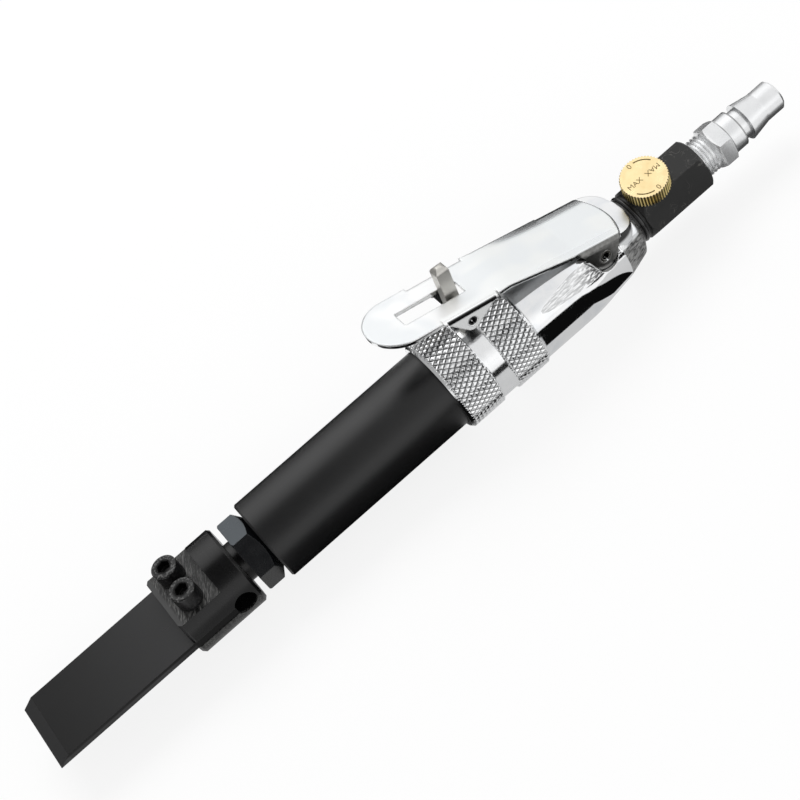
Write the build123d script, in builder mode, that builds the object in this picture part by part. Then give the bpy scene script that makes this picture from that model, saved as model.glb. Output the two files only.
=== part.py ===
"""Pneumatic scraper: a hand held air hammer that drives a flat blade.

The tool lies along X with its blade at -X and its air inlet at +X. +Z is up, through the
throttle lever, and the tool rests on its knurled collar at z = 0. Sizes are in millimetres.
"""

import os
from math import cos, pi, radians, sin, sqrt, tan

from build123d import *

# Lengths along the tool, from the blade's edge to the end of the air plug
blade_reach = 52.9
holder_len = 25.1
shank_gap = 2.1
nut_head_len = 7.9
barrel_show = 71.0
collar_len = 32.0
housing_len = 46.2
neck_len = 3.3
regulator_len = 25.5
plug_thread_show = 6.3
plug_hex_len = 5.7
plug_collar_len = 5.0
plug_groove_len = 3.0
plug_taper_len = 7.0
plug_nose_len = 7.0

# Blade
blade_w = 27.5
blade_t = 2.7
blade_drop = 0.4
blade_in_slot = 16.0
bevel_len = 4.2
edge_land = 0.25

# Blade holder and its shank
holder_r = 14.0
holder_chamfer = 0.9
flat_rise = 7.95
flat_len = 16.0
relief_r = 3.9
relief_back = 19.4
slot_room = 0.3
shank_r = 7.0
shank_collar_r = 9.9
shank_collar_len = 4.0
shank_tail = 12.5

# Clamp screws, M5
screw_r = 2.5
screw_head_r = 4.25
screw_head_h = 5.0
screw_len = 20.0
screw_key = 4.0
screw_key_depth = 2.6
screw_key_turn = 15.0
screw_pitch = 11.6
screw_back = 7.8
screw_hole_r = 2.75
washer_r = 4.2
washer_h = 1.3
washer_slit = 0.8

# Front nut
nut_af = 22.0
nut_turn = 50.2
nut_spigot_len = 10.0
nut_front_chamfer = 0.5
nut_rear_r = 9.6
nut_rear_chamfer = 2.2

# Barrel and what is inside it
barrel_r = 14.0
barrel_chamfer = 0.6
barrel_front_bore = 10.4
barrel_rear_bore = 11.2
barrel_hidden = 11.0
return_spring_len = 10.0
return_wire = 1.6
return_turns = 3.0
buffer_len = 2.0
bush_len = 10.0
liner_len = 32.0
liner_bore = 8.0
piston_len = 18.0
piston_start = 6.5
piston_groove = 0.4
valve_body_len = 5.0
valve_cap_len = 4.0
valve_pocket_r = 6.0
valve_pocket_len = 2.2
valve_disc_t = 1.0
valve_port_r = 2.0
gasket_len = 1.5

# Knurled collar
collar_wall = 2.4
collar_chamfer = 1.0
groove_depth = 0.8
groove_front = 13.4
groove_len = 5.4

# Throttle housing
housing_r = 15.5
housing_straight = 22.0
housing_corner_r = 13.5
housing_corner_back = 9.7
housing_end_r = 11.1
housing_end_back = 1.6
housing_face_r = 8.8
housing_blend_r = 60.0
housing_edge_r = 2.0
boss_inset = 0.8
boss_drop = 0.6
boss_half = 11.6
boss_round = 7.0
seat_run = 12.0
spigot_r = 13.0
nose_gap = 0.5
air_bore = 4.4
seat_bore = 5.0
inlet_r = 6.55
inlet_len = 10.2
facet_tilt = 34.0
facet_start = 4.5
facet_depth = 0.4
facet_end = 36.5
facet_end_depth = 2.3

# Throttle lever, sheet metal, measured from its pivot
pivot_back = 15.2
pivot_rise = 8.5
lever_t = 1.5
lever_tail = 10.3
lever_bend_1 = 7.0
lever_bend_2 = 30.0
lever_reach = 72.5
lever_rise = 5.4
slope_rear = 17.7
slope_mid = 20.5
slope_front = 15.4
lever_bend_r = 60.0
lever_front_w = 21.6
lever_mid_w = 20.6
lever_flare_w = 23.2
lever_rear_w = 25.0
slot_corner_r = 0.6
flange_r = 4.5
flange_back = 6.6
sheet_bend_r = 0.5
lever_travel = 6.0
lever_pin_r = 2.0
lever_pin_wall = 0.7
web_room = 0.35

# Safety catch, measured from its pin
catch_ahead = 45.1
catch_drop = 5.1
catch_w = 4.0
catch_t = 4.4
catch_top = 15.9
catch_lean = 7.0
catch_hub_r = 2.4
catch_leg = 5.8
catch_leg_t = 2.2
catch_leg_back = 0.4
catch_top_r = 0.45 * catch_w
ear_r = 3.2
ear_front = 8.0
ear_rear = 11.0
safety_pin_r = 1.5
safety_pin_wall = 0.45
slot_w = 6.6
slot_front = 16.2
slot_rear = 4.4
safety_wire = 0.7
safety_turns = 3.5
safety_pitch = 1.2
safety_leg = 4.0

# Throttle valve inside the housing
throttle_pin_ahead = 18.0
throttle_pin_r = 2.0
pin_gap = 0.3
pin_flat = 0.2
seat_ahead = 7.0
seat_len = 2.5
seat_hole_r = 2.3
valve_head_r = 3.6
valve_head_len = 2.0
valve_stem_r = 1.0
valve_stem_past = 2.0
valve_wire = 0.7
valve_turns = 4.0

# Air regulator
neck_r = 8.0
neck_seal_show = 0.65
regulator_af = 17.5
regulator_turn = 12.6
regulator_chamfer = 1.6
regulator_bore = 3.5
knob_ahead = 18.4
knob_r = 7.75
knob_h = 5.0
knob_gap = 0.45
knob_teeth = 48
knob_tooth = 0.5
knob_bevel = 0.25
stem_r = 3.5
stem_depth = 4.6
stem_port_r = 2.2
stem_pin_r = 0.9
stem_pin_rise = 6.8
stem_pin_len = 9.0
stem_pin_inset = 0.4
stem_groove = 1.2
stem_seal_rise = 4.6

# Quick plug, R1/4 thread
plug_thread_r = 6.58
plug_pitch = 1.337
plug_thread_depth = 0.86
plug_thread_hidden = 12.0
plug_hex_af = 14.0
plug_turn = 23.0
plug_collar_r = 6.45
plug_groove_r = 5.2
plug_rim_r = 6.6
plug_nose_r = 5.35
plug_bore = 3.75
plug_mouth = 0.8

# Clearances
press_clear = 0.02
running_clear = 0.05
free_clear = 0.3

# O-rings: wire radius
seal_wire = 0.75
small_seal_wire = 0.5

# Stations along X, with the middle of the tool at x = 0
plug_show = plug_thread_show + plug_hex_len + plug_collar_len
plug_show += plug_groove_len + plug_taper_len + plug_nose_len
front_len = blade_reach + holder_len + shank_gap + nut_head_len
rear_len = barrel_show + collar_len + housing_len + neck_len + regulator_len + plug_show
x_tip = -(front_len + rear_len) / 2
x_holder = x_tip + blade_reach
x_holder_rear = x_holder + holder_len
x_nut = x_holder_rear + shank_gap
x_barrel = x_nut + nut_head_len
x_collar = x_barrel + barrel_show
x_housing = x_collar + collar_len
x_neck = x_housing + housing_len
x_regulator = x_neck + neck_len
x_plug = x_regulator + regulator_len

# Stations inside the barrel
x_spring = x_barrel + nut_spigot_len
x_shank_collar = x_spring + return_spring_len
x_buffer = x_shank_collar + shank_collar_len
x_bush = x_buffer + buffer_len
x_liner = x_bush + bush_len
x_valve = x_liner + liner_len
x_valve_cap = x_valve + valve_body_len
x_gasket = x_valve_cap + valve_cap_len
x_nose = x_gasket + gasket_len
x_barrel_rear = x_collar + barrel_hidden
x_shank_end = x_buffer + shank_tail + buffer_len
x_piston = x_shank_end + piston_start

# Places of the lever, the catch and the valve
collar_r = barrel_r + collar_wall
groove_r = collar_r - groove_depth
axis_z = collar_r
tool_axis = Axis((0, 0, axis_z), (1, 0, 0))
profile_plane = Plane(origin=(0, 0, axis_z), x_dir=(1, 0, 0), z_dir=(0, -1, 0))
x_pivot = x_neck - pivot_back
z_pivot = axis_z + pivot_rise
x_seat = x_pivot - seat_ahead
x_throttle_pin = x_pivot - throttle_pin_ahead
x_knob = x_plug - knob_ahead
blade_mid = axis_z - blade_drop
flat_z = axis_z + flat_rise
sheet_drop = lever_t / cos(radians(slope_mid))


def section_plane(x):
    """Plane across the tool at x, with its local axes along Y and Z."""
    return Plane(origin=(x, 0, axis_z), x_dir=(0, 1, 0), z_dir=(1, 0, 0))


def turned(points, mode=Mode.ADD):
    """Revolve a closed outline of (x, radius) points about the tool's axis."""
    with BuildSketch(profile_plane) as outline:
        with BuildLine():
            Polyline(*points, close=True)
        make_face()
    revolve(outline.sketch, axis=tool_axis, mode=mode)


def ring(x_from, x_to, outer, inner=0.0, mode=Mode.ADD):
    """A plain turned length, solid where its inner radius is zero."""
    turned([(x_from, inner), (x_to, inner), (x_to, outer), (x_from, outer)], mode)


def bored(x_from, x_to, radius):
    """Cut a round hole along the tool's axis."""
    ring(x_from, x_to, radius, mode=Mode.SUBTRACT)


def hexagon(x_from, x_to, across_flats, turn):
    """A hexagonal length along the tool's axis."""
    with BuildSketch(section_plane(x_from)) as outline:
        RegularPolygon(across_flats / 2, 6, major_radius=False, rotation=turn)
    extrude(outline.sketch, amount=x_to - x_from)


def cross_hole(x, z, radius, half_len, mode=Mode.SUBTRACT):
    """A round hole or bar across the tool, along Y, centred on y = 0."""
    with BuildSketch(Plane(origin=(x, 0, z), x_dir=(1, 0, 0), z_dir=(0, -1, 0))) as outline:
        Circle(radius)
    extrude(outline.sketch, amount=half_len, both=True, mode=mode)


def o_ring(plane, radius, wire):
    """A rubber ring around the plane's normal."""
    with Locations(plane.location):
        Torus(radius, wire)


def helix_point(frame, radius, pitch, turn):
    """Point and direction of a helix around the frame's normal, at a number of turns."""
    angle = 2 * pi * turn
    place = Vector(radius * cos(angle), radius * sin(angle), pitch * turn)
    way = Vector(-radius * sin(angle), radius * cos(angle), pitch / (2 * pi))
    point = frame.from_local_coords(place)
    return point, (frame.from_local_coords(place + way) - point).normalized()


def coil_path(frame, radius, pitch, turns):
    """Draw a helix as pairs of tangent arcs, one pair for each quarter turn."""
    quarters = round(turns * 4)
    for step in range(quarters):
        start, start_way = helix_point(frame, radius, pitch, step / 4)
        end, end_way = helix_point(frame, radius, pitch, (step + 1) / 4)
        chord = end - start
        spread = 2 * (1 - start_way.dot(end_way))
        along = chord.dot(start_way + end_way)
        reach = (sqrt(along ** 2 + spread * chord.dot(chord)) - along) / spread
        first = start + start_way * reach
        second = end - end_way * reach
        middle = (first + second) * 0.5
        TangentArc(start, middle, tangent=start_way)
        TangentArc(middle, end, tangent=second - first)


def coil_gap(name, frame, radius, pitch, turns, wire):
    """Print the least gap between neighbouring turns, measured on points of the helix."""
    steps = 48
    count = round(turns * steps)
    points = [helix_point(frame, radius, pitch, i / steps)[0] for i in range(count + 1)]
    pairs = [(i, j) for i in range(count + 1) for j in range(i + steps // 2, count + 1)]
    least = min((points[i] - points[j]).length for i, j in pairs)
    print(name, "least gap between turns", round(least - wire, 2), "mm")


def spring_pin(x, z, radius, wall, half_len):
    """A rolled pin across the tool with its slit on the underside."""
    slit = radius / 4
    cross_hole(x, z, radius, half_len, Mode.ADD)
    cross_hole(x, z, radius - wall, half_len)
    with Locations((x, 0, z - radius)):
        Box(slit, 2 * half_len, 2 * radius, mode=Mode.SUBTRACT)


def lever_height(ahead):
    """Height of the lever's top above its pivot, at a distance ahead of the pivot."""
    rear = lever_rise + min(ahead, lever_bend_1) * tan(radians(slope_rear))
    mid = (min(max(ahead, lever_bend_1), lever_bend_2) - lever_bend_1) * tan(radians(slope_mid))
    front = max(ahead - lever_bend_2, 0) * tan(radians(slope_front))
    return rear + mid + front


def save(builder, name):
    """Label the finished piece and write it as its own file."""
    builder.part.label = name
    export_step(builder.part, f"parts/{name}.step")


os.makedirs("parts", exist_ok=True)

# Blade: a plate with one bevel on its top face and two clamp holes
x_blade_rear = x_holder + blade_in_slot
x_screw = x_holder + screw_back
blade_low = blade_mid - blade_t / 2
blade_high = blade_mid + blade_t / 2
with BuildPart() as blade:
    with BuildSketch(Plane.XZ):
        with BuildLine():
            Polyline(
                (x_tip, blade_low),
                (x_blade_rear, blade_low),
                (x_blade_rear, blade_high),
                (x_tip + bevel_len, blade_high),
                (x_tip, blade_low + edge_land),
                close=True,
            )
        make_face()
    extrude(amount=blade_w / 2, both=True)
    with BuildSketch(Plane.XY.offset(blade_low)):
        with Locations((x_screw, -screw_pitch / 2), (x_screw, screw_pitch / 2)):
            Circle(screw_hole_r)
    extrude(amount=blade_t, mode=Mode.SUBTRACT)
save(blade, "blade")

# Blade holder: slotted clamp head, shank, striking collar and tail
with BuildPart() as blade_holder:
    turned([
        (x_holder, 0),
        (x_holder, holder_r - holder_chamfer),
        (x_holder + holder_chamfer, holder_r),
        (x_holder_rear - holder_chamfer, holder_r),
        (x_holder_rear, holder_r - holder_chamfer),
        (x_holder_rear, shank_r),
        (x_shank_collar, shank_r),
        (x_shank_collar, shank_collar_r),
        (x_buffer, shank_collar_r),
        (x_buffer, shank_r),
        (x_shank_end, shank_r),
        (x_shank_end, 0),
    ])
    with BuildSketch(Plane.XZ):
        with Locations((x_holder, flat_z)):
            Rectangle(flat_len, holder_r, align=(Align.MIN, Align.MIN))
        with Locations((x_holder, blade_high)):
            Rectangle(relief_back, blade_t + slot_room, align=(Align.MIN, Align.MAX))
        with Locations((x_holder + relief_back, blade_mid)):
            Circle(relief_r)
    extrude(amount=2 * holder_r, both=True, mode=Mode.SUBTRACT)
    with BuildSketch(Plane.XY.offset(blade_mid)):
        with Locations((x_screw, -screw_pitch / 2), (x_screw, screw_pitch / 2)):
            Circle(screw_hole_r)
    extrude(amount=holder_r, mode=Mode.SUBTRACT)
    with BuildSketch(Plane.XY.offset(blade_mid)):
        with Locations((x_screw, -screw_pitch / 2), (x_screw, screw_pitch / 2)):
            Circle(screw_r + press_clear)
    extrude(amount=-2 * holder_r, mode=Mode.SUBTRACT)
save(blade_holder, "blade_holder")

# Two cap screws on split washers
washer_top = flat_z + washer_h
with BuildPart() as clamp_screws:
    with Locations((x_screw, -screw_pitch / 2, washer_top), (x_screw, screw_pitch / 2, washer_top)):
        Cylinder(screw_head_r, screw_head_h, align=(Align.CENTER, Align.CENTER, Align.MIN))
        Cylinder(screw_r, screw_len, align=(Align.CENTER, Align.CENTER, Align.MAX))
    head_rims = clamp_screws.edges().filter_by(GeomType.CIRCLE).group_by(Axis.Z)[-1]
    fillet(head_rims, screw_head_r / 10)
    with BuildSketch(Plane.XY.offset(washer_top + screw_head_h)):
        with Locations((x_screw, -screw_pitch / 2), (x_screw, screw_pitch / 2)):
            RegularPolygon(screw_key / 2, 6, major_radius=False, rotation=screw_key_turn)
    extrude(amount=-screw_key_depth, mode=Mode.SUBTRACT)
save(clamp_screws, "clamp_screws")

with BuildPart() as spring_washers:
    with BuildSketch(Plane.XY.offset(flat_z)):
        with Locations((x_screw, -screw_pitch / 2), (x_screw, screw_pitch / 2)):
            Circle(washer_r)
            Circle(screw_r + running_clear, mode=Mode.SUBTRACT)
            with Locations((washer_r, 0)):
                Rectangle(2 * washer_r, washer_slit, mode=Mode.SUBTRACT)
    extrude(amount=washer_h)
save(spring_washers, "spring_washers")

# Front nut: hex head, chamfered towards the barrel, with a threaded spigot
nut_corner = nut_af / 2 / cos(pi / 6)
with BuildPart() as front_nut:
    hexagon(x_nut, x_barrel, nut_af, nut_turn)
    turned(
        [
            (x_nut, 0),
            (x_nut, nut_corner - nut_front_chamfer),
            (x_nut + nut_front_chamfer, nut_corner),
            (x_barrel - nut_rear_chamfer, nut_corner),
            (x_barrel, nut_rear_r),
            (x_barrel, 0),
        ],
        Mode.INTERSECT,
    )
    ring(x_barrel, x_spring, barrel_front_bore - press_clear)
    bored(x_nut, x_spring, shank_r + running_clear)
save(front_nut, "front_nut")

# Barrel: outer tube with a step that the bush rests on
with BuildPart() as barrel:
    turned([
        (x_barrel, barrel_front_bore),
        (x_barrel, barrel_r - barrel_chamfer),
        (x_barrel + barrel_chamfer, barrel_r),
        (x_barrel_rear, barrel_r),
        (x_barrel_rear, barrel_rear_bore),
        (x_bush, barrel_rear_bore),
        (x_bush, barrel_front_bore),
    ])
save(barrel, "barrel")

# Return spring between the nut and the shank's collar
return_mid_r = (shank_r + barrel_front_bore) / 2
return_pitch = (return_spring_len - return_wire - 2 * running_clear) / return_turns
return_start = x_spring + return_wire / 2 + running_clear
return_frame = Plane(origin=(return_start, 0, axis_z), x_dir=(0, 1, 0), z_dir=(1, 0, 0))
with BuildPart() as return_spring:
    with BuildLine() as return_line:
        coil_path(return_frame, return_mid_r, return_pitch, return_turns)
    with BuildSketch(Plane(origin=return_line.line @ 0, z_dir=return_line.line % 0)):
        Circle(return_wire / 2)
    sweep()
save(return_spring, "return_spring")
coil_gap("return_spring", return_frame, return_mid_r, return_pitch, return_turns, return_wire)

with BuildPart() as buffer_ring:
    ring(x_buffer, x_bush, barrel_front_bore - press_clear, shank_r + free_clear)
save(buffer_ring, "buffer_ring")

with BuildPart() as front_bush:
    ring(x_bush, x_liner, barrel_rear_bore - press_clear, shank_r + running_clear)
save(front_bush, "front_bush")

with BuildPart() as cylinder_liner:
    ring(x_liner, x_valve, barrel_rear_bore - press_clear, liner_bore)
save(cylinder_liner, "cylinder_liner")

# Hammer piston with two oil grooves
piston_r = liner_bore - running_clear
with BuildPart() as hammer_piston:
    ring(x_piston, x_piston + piston_len, piston_r)
    for share in (1 / 3, 2 / 3):
        x_groove = x_piston + piston_len * share
        ring(x_groove, x_groove + 2 * piston_groove, piston_r, piston_r - piston_groove, Mode.SUBTRACT)
    rims = hammer_piston.edges().filter_by(GeomType.CIRCLE).sort_by(Axis.X)
    chamfer([rims[0], rims[-1]], 2 * piston_groove)
save(hammer_piston, "hammer_piston")

# Distributing valve behind the liner: body, loose disc and cap
valve_r = barrel_rear_bore - press_clear
x_pocket = x_valve_cap - valve_pocket_len
with BuildPart() as valve_body:
    ring(x_valve, x_valve_cap, valve_r)
    bored(x_pocket, x_valve_cap, valve_pocket_r)
    bored(x_valve, x_pocket, valve_port_r)
save(valve_body, "valve_body")

x_disc = x_pocket + running_clear
with BuildPart() as valve_disc:
    ring(x_disc, x_disc + valve_disc_t, valve_pocket_r - free_clear)
save(valve_disc, "valve_disc")

with BuildPart() as valve_cap:
    ring(x_valve_cap, x_gasket, valve_r)
    bored(x_valve_cap, x_gasket, valve_port_r)
save(valve_cap, "valve_cap")

with BuildPart() as barrel_gasket:
    ring(x_gasket, x_nose, valve_r, air_bore)
save(barrel_gasket, "barrel_gasket")

# Knurled collar: coupling sleeve over the barrel's end and the housing's spigot
x_groove_front = x_collar + groove_front
x_groove_rear = x_groove_front + groove_len
x_step = x_barrel_rear + nose_gap
with BuildPart() as knurled_collar:
    turned([
        (x_collar, barrel_r + press_clear),
        (x_collar, collar_r - collar_chamfer),
        (x_collar + collar_chamfer, collar_r),
        (x_groove_front - collar_chamfer / 2, collar_r),
        (x_groove_front, groove_r),
        (x_groove_rear, groove_r),
        (x_groove_rear + collar_chamfer / 2, collar_r),
        (x_housing - collar_chamfer, collar_r),
        (x_housing, collar_r - collar_chamfer),
        (x_housing, spigot_r + press_clear),
        (x_step, spigot_r + press_clear),
        (x_step, barrel_r + press_clear),
    ])
save(knurled_collar, "knurled_collar")

# Throttle housing: turned body with a rear boss, facets, lever seat and air ways
nose_r = barrel_rear_bore - press_clear
x_seal = (x_nose + x_barrel_rear) / 2
seal_groove_r = nose_r - 2 * seal_wire
lever_half = lever_rear_w / 2
web_half = lever_half - lever_t - web_room
x_rear_edge = x_pivot + lever_tail
x_flange_front = x_pivot - lever_bend_1
x_flange_rear = x_pivot + flange_back
x_seat_front = x_seat - seat_len
x_inlet = x_neck - inlet_len
seat_front = lever_bend_1 + seat_run


def boss_top(ahead):
    """Height of the boss behind the lever, a step below the lever's top face."""
    return z_pivot + lever_height(ahead) - boss_drop


def lever_floor(ahead):
    """Height that clears the underside of the pressed lever, ahead of its pivot."""
    swept = max(ahead, 0) * tan(radians(lever_travel))
    return z_pivot + lever_height(ahead) - sheet_drop - swept - web_room


# Space that the lever's plate and its rear flanges sweep in the housing
with BuildPart() as lever_room:
    with BuildSketch(Plane.XZ):
        with BuildLine():
            Polyline(
                (x_rear_edge + web_room, lever_floor(-lever_tail)),
                (x_pivot, lever_floor(0)),
                (x_flange_front, lever_floor(lever_bend_1)),
                (x_pivot - seat_front, lever_floor(seat_front)),
                (x_pivot - seat_front, z_pivot + lever_reach),
                (x_rear_edge + web_room, z_pivot + lever_reach),
                close=True,
            )
        make_face()
    extrude(amount=2 * housing_r, both=True)
    for side in (-1, 1):
        with BuildSketch(Plane.XZ.offset(side * (web_half + housing_r))):
            with Locations((x_pivot, z_pivot)):
                Circle(flange_r + web_room)
            with BuildLine():
                Polyline(
                    (x_flange_front - lever_t, z_pivot + lever_rise),
                    (x_flange_front - lever_t, z_pivot + 2 * housing_r),
                    (x_flange_rear + web_room, z_pivot + 2 * housing_r),
                    (x_flange_rear + web_room, z_pivot + lever_rise / 2),
                    close=True,
                )
            make_hull()
        extrude(amount=housing_r, both=True)
    with BuildSketch(Plane.XY):
        with BuildLine():
            rear_arc = ThreePointArc(
                (x_flange_rear + web_room, -lever_half),
                (x_rear_edge + web_room, 0),
                (x_flange_rear + web_room, lever_half),
            )
            Polyline(
                rear_arc @ 1,
                (x_flange_rear + web_room, 2 * housing_r),
                (x_housing, 2 * housing_r),
                (x_housing, -2 * housing_r),
                (x_flange_rear + web_room, -2 * housing_r),
                rear_arc @ 0,
            )
        make_face()
    extrude(amount=2 * lever_reach, mode=Mode.INTERSECT)

with BuildPart() as throttle_housing:
    with BuildSketch(Plane.XZ):
        with BuildLine():
            Polyline(
                (x_pivot, axis_z),
                (x_pivot, boss_top(0)),
                (x_neck - boss_inset, boss_top(boss_inset - pivot_back)),
                (x_neck - boss_inset, axis_z),
                close=True,
            )
        make_face()
    extrude(amount=boss_half, both=True)
    fillet(throttle_housing.edges().filter_by(Axis.Z).group_by(Axis.X)[-1], boss_round)
    with BuildSketch(profile_plane):
        with BuildLine():
            crown = FilletPolyline(
                (x_housing, housing_r),
                (x_housing + housing_straight, housing_r),
                (x_neck - housing_corner_back, housing_corner_r),
                (x_neck - housing_end_back, housing_end_r),
                (x_neck, housing_face_r),
                radius=[housing_blend_r, housing_edge_r, housing_edge_r],
            )
            Polyline(
                crown @ 1,
                (x_neck, 0),
                (x_nose, 0),
                (x_nose, nose_r),
                (x_step, nose_r),
                (x_step, spigot_r),
                (x_housing, spigot_r),
                crown @ 0,
            )
        make_face()
    revolve(axis=tool_axis)
    with BuildSketch(Plane.XZ):
        with BuildLine():
            Polyline(
                (x_pivot, boss_top(0)),
                (x_neck, boss_top(-pivot_back)),
                (x_neck, z_pivot + lever_reach),
                (x_pivot, z_pivot + lever_reach),
                close=True,
            )
        make_face()
    extrude(amount=2 * housing_r, both=True, mode=Mode.SUBTRACT)
    for side in (-1, 1):
        facet_up = (0, side * cos(radians(facet_tilt)), sin(radians(facet_tilt)))
        facet_way = (0, -facet_up[2], facet_up[1])
        with BuildSketch(Plane(origin=(0, 0, axis_z), x_dir=(1, 0, 0), z_dir=facet_way)):
            with BuildLine():
                floor_line = FilletPolyline(
                    (x_housing + facet_start, housing_r),
                    (x_housing + housing_straight, housing_r - facet_depth),
                    (x_housing + facet_end, housing_r - facet_end_depth),
                    radius=housing_blend_r,
                )
                Polyline(
                    floor_line @ 1,
                    (x_housing + facet_end, 2 * housing_r),
                    (x_housing + facet_start, 2 * housing_r),
                    floor_line @ 0,
                )
            make_face()
        extrude(amount=housing_r, both=True, mode=Mode.SUBTRACT)
    add(lever_room.part, mode=Mode.SUBTRACT)
    bored(x_nose, x_seat_front, air_bore)
    bored(x_seat_front, x_inlet, seat_bore)
    bored(x_inlet, x_neck, inlet_r)
    ring(x_seal - seal_wire, x_seal + seal_wire, barrel_r, seal_groove_r, Mode.SUBTRACT)
    cross_hole(x_pivot, z_pivot, lever_pin_r + press_clear, housing_r)
    with BuildSketch(Plane.XY.offset(axis_z)):
        with Locations((x_throttle_pin, 0)):
            Circle(throttle_pin_r + running_clear)
    extrude(amount=2 * housing_r, mode=Mode.SUBTRACT)
save(throttle_housing, "throttle_housing")

with BuildPart() as housing_seal:
    o_ring(section_plane(x_seal), nose_r - seal_wire, seal_wire - press_clear)
save(housing_seal, "housing_seal")

# Throttle lever: bent sheet with a round tip, a slot, two ears and two rear flanges
x_catch = x_pivot - catch_ahead
z_catch = z_pivot + lever_height(catch_ahead) - catch_drop
front_half = lever_front_w / 2
mid_half = lever_mid_w / 2
flare_half = lever_flare_w / 2
ear_flat = front_half - sheet_bend_r - sheet_drop * cos(radians(slope_front))
x_waist = x_pivot - lever_bend_2
x_ear_rear = x_catch + ear_rear
x_ear_front = x_catch - ear_front
x_lever_tip = x_pivot - lever_reach
lever_runs = (lever_bend_1, lever_bend_2, lever_reach)
lever_top = [(x_pivot - ahead, z_pivot + lever_height(ahead)) for ahead in lever_runs]
lever_under = [(x, z - sheet_drop) for x, z in lever_top]


def sheet_point(x, below):
    """Point on the middle plane of the lever, a vertical distance below its top face."""
    return (x, z_pivot + lever_height(x_pivot - x) - below)


def bent_walls(half, x_rear, x_front, hub, hub_r, x_wall):
    """A straight stretch of the sheet with both sides bent down round a cross pin."""
    start = Vector(x_rear, 0, sheet_point(x_rear, 0)[1])
    way = Vector(x_front, 0, sheet_point(x_front, 0)[1]) - start
    thick = sheet_drop * (x_rear - x_front) / way.length
    outer_bend = sheet_bend_r + thick
    depth = start.Z + way.Z - hub[1] + hub_r
    inner = half - thick
    with BuildPart() as bent:
        with BuildSketch(Plane(origin=start, x_dir=(0, 1, 0), z_dir=way)):
            with BuildLine():
                outside = FilletPolyline(
                    (-half, depth), (-half, 0), (half, 0), (half, depth), radius=outer_bend
                )
                inside = FilletPolyline(
                    (-inner, depth), (-inner, thick), (inner, thick), (inner, depth),
                    radius=sheet_bend_r,
                )
                Line(outside @ 0, inside @ 0)
                Line(outside @ 1, inside @ 1)
            make_face()
        extrude(amount=way.length + lever_t)
        with BuildSketch(Plane.XZ):
            with Locations(hub):
                Circle(hub_r)
            with BuildLine():
                Line(sheet_point(x_wall, sheet_drop / 2), sheet_point(x_front, sheet_drop / 2))
            make_hull()
            with BuildLine():
                Polyline(
                    sheet_point(x_rear, sheet_drop),
                    sheet_point(x_front, sheet_drop),
                    sheet_point(x_front, -lever_t),
                    sheet_point(x_rear, -lever_t),
                    close=True,
                )
            make_face()
        extrude(amount=2 * half, both=True, mode=Mode.INTERSECT)
    return bent.part


ears = bent_walls(front_half, x_ear_rear, x_ear_front, (x_catch, z_catch), ear_r, x_ear_rear)
flanges = bent_walls(
    lever_half, x_rear_edge, x_flange_front, (x_pivot, z_pivot), flange_r, x_flange_rear
)
with BuildPart() as lever_rear:
    add(flanges)
    with BuildSketch(Plane.XY):
        with BuildLine():
            tail_arc = ThreePointArc(
                (x_flange_rear, -lever_half), (x_rear_edge, 0), (x_flange_rear, lever_half)
            )
            Polyline(
                tail_arc @ 1,
                (x_flange_front, lever_half),
                (x_flange_front, -lever_half),
                tail_arc @ 0,
            )
        make_face()
    extrude(amount=4 * lever_reach, mode=Mode.INTERSECT)

with BuildPart() as throttle_lever:
    with BuildSketch(Plane.XZ):
        with BuildLine():
            top_line = FilletPolyline(*lever_top, radius=lever_bend_r)
            under_line = FilletPolyline(*lever_under, radius=lever_bend_r)
            Line(top_line @ 0, under_line @ 0)
            Line(top_line @ 1, under_line @ 1)
        make_face()
    extrude(amount=lever_rear_w, both=True)
    with BuildSketch(Plane.XY):
        with BuildLine():
            edge_line = Polyline(
                (x_flange_front, 0),
                (x_flange_front, flare_half),
                (x_waist, mid_half),
                (x_ear_rear, front_half),
                (x_ear_rear, ear_flat),
                (x_ear_front, ear_flat),
                (x_ear_front, front_half),
                (x_lever_tip + front_half, front_half),
            )
            TangentArc(edge_line @ 1, (x_lever_tip, 0), tangent=(-1, 0))
            mirror(about=Plane.XZ)
        make_face()
    extrude(amount=4 * lever_reach, mode=Mode.INTERSECT)
    add(ears)
    add(lever_rear.part)
    with BuildSketch(Plane.XY.offset(z_catch)):
        with Locations((x_catch - (slot_front - slot_rear) / 2, 0)):
            RectangleRounded(slot_front + slot_rear, slot_w, slot_corner_r)
    extrude(amount=lever_reach, mode=Mode.SUBTRACT)
    cross_hole(x_catch, z_catch, safety_pin_r + press_clear, lever_rear_w)
    cross_hole(x_pivot, z_pivot, lever_pin_r + running_clear, lever_rear_w)
save(throttle_lever, "throttle_lever")

with BuildPart() as lever_pin:
    spring_pin(x_pivot, z_pivot, lever_pin_r, lever_pin_wall, lever_half)
save(lever_pin, "lever_pin")

# Safety catch: tab through the lever's slot, hub on its pin and a leg over the collar
with BuildPart() as safety_catch:
    with BuildSketch(Plane.XZ):
        with Locations((x_catch, z_catch)):
            Rectangle(catch_t, catch_top, rotation=-catch_lean, align=(Align.CENTER, Align.MIN))
            Circle(catch_hub_r)
        with Locations((x_catch + catch_leg_back, z_catch)):
            Rectangle(catch_leg_t, catch_leg, align=(Align.MIN, Align.MAX))
        with Locations((x_catch, z_catch)):
            Circle(safety_pin_r + running_clear, mode=Mode.SUBTRACT)
    extrude(amount=catch_w / 2, both=True)
    fillet(safety_catch.faces().sort_by(Axis.Z)[-1].edges(), catch_top_r)
save(safety_catch, "safety_catch")

with BuildPart() as safety_pin:
    spring_pin(x_catch, z_catch, safety_pin_r, safety_pin_wall, front_half)
save(safety_pin, "safety_pin")

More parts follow.
